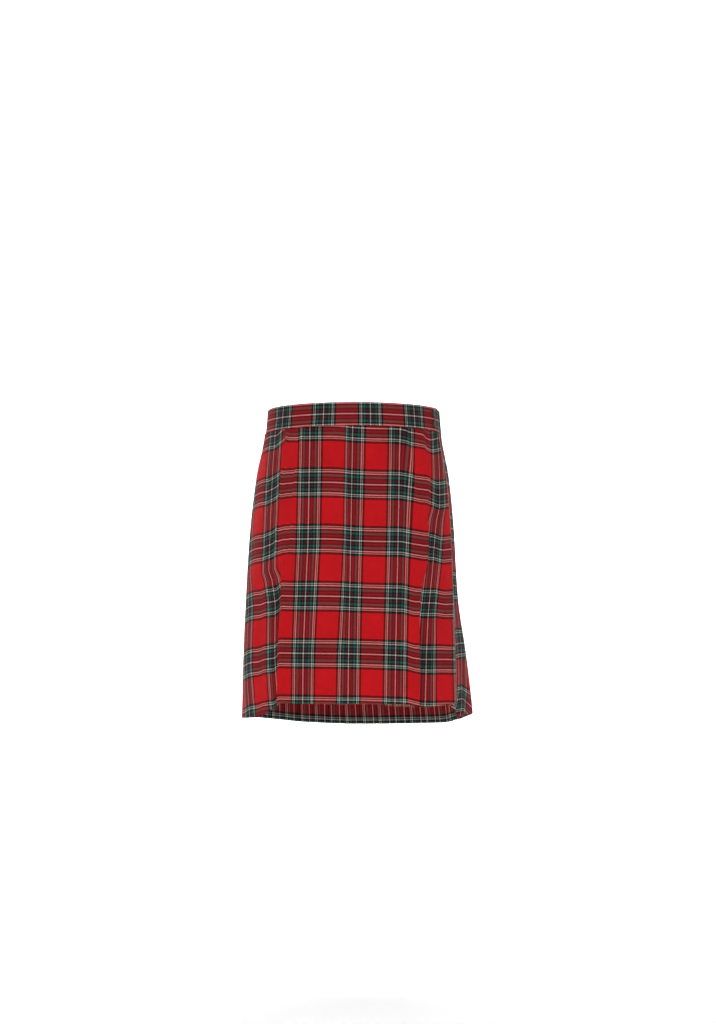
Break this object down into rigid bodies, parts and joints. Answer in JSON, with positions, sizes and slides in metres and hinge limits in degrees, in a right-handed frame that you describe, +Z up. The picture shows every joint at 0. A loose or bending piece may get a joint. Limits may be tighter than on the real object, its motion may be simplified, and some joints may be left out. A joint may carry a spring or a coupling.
{
  "type": "pleated wrap skirt",
  "caption": "Knee-length tartan wrap skirt in its worn, hollow form: flat apron over the back, soft folds, knife pleats round the front, plain waistband with buttons.",
  "frame": {"origin": "centre of the waistband's top edge, where the wearer's waist holds the skirt", "axes": "+Z up along the skirt's height, +Y towards its back with the flat apron, -Y towards its front, +X to the wearer's left"},
  "size_m": [0.448, 0.3376, 0.626],
  "materials": {
    "tartan_wool": "matte twill-woven wool, red check",
    "band_wool": "matte twill-woven wool, pressed double",
    "horn_button": "satin dark horn"
  },
  "bodies": {
    "root": {"outer_apron": "tartan_wool", "pleats_left": "tartan_wool", "pleats_right": "tartan_wool", "under_apron": "tartan_wool", "waistband": "band_wool", "button_upper": "horn_button", "button_lower": "horn_button"}
  },
  "joints": []
}
